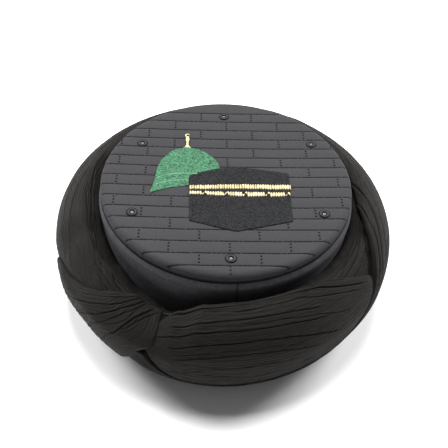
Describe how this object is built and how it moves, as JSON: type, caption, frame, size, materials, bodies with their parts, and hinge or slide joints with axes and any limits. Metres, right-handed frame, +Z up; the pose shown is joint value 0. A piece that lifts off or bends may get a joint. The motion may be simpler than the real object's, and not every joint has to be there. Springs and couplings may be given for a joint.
{
  "type": "turban",
  "caption": "Ready-wound turban: a stiff round cap with a quilted, embroidered flat top and a thick ring of pleated black cloth wound and knotted round its side.",
  "frame": {"origin": "centre of the turban's footprint on the surface it stands on", "axes": "+Z up through the crown, -Y towards the front where the cloth crosses, +X to the wearer's left; the crown's quilted rows run along X"},
  "size_m": [0.2449, 0.2431, 0.1042],
  "materials": {
    "crown_cloth": "mid grey fine twill, quilted in straight rows",
    "side_cloth": "dark blue-grey felted cloth with faint lint",
    "wrap_cloth": "matt near-black crinkled cloth in fine pleats",
    "eyelet_thread": "dark stitched thread ring",
    "green_thread": "green satin-stitched thread",
    "gold_thread": "pale gold satin-stitched thread",
    "black_thread": "black dense stipple-stitched thread"
  },
  "bodies": {
    "root": {"crown_top": "crown_cloth", "cap_side": "side_cloth", "eyelet_1": "eyelet_thread", "eyelet_2": "eyelet_thread", "eyelet_3": "eyelet_thread", "eyelet_4": "eyelet_thread", "eyelet_5": "eyelet_thread", "eyelet_6": "eyelet_thread", "motif_block": "black_thread", "motif_dome": "green_thread", "motif_finial": "gold_thread", "motif_band_upper": "gold_thread", "motif_band_lower": "gold_thread", "wrap_ring": "wrap_cloth", "wrap_front": "wrap_cloth", "wrap_right": "wrap_cloth", "knot_fan": "wrap_cloth"}
  },
  "joints": []
}
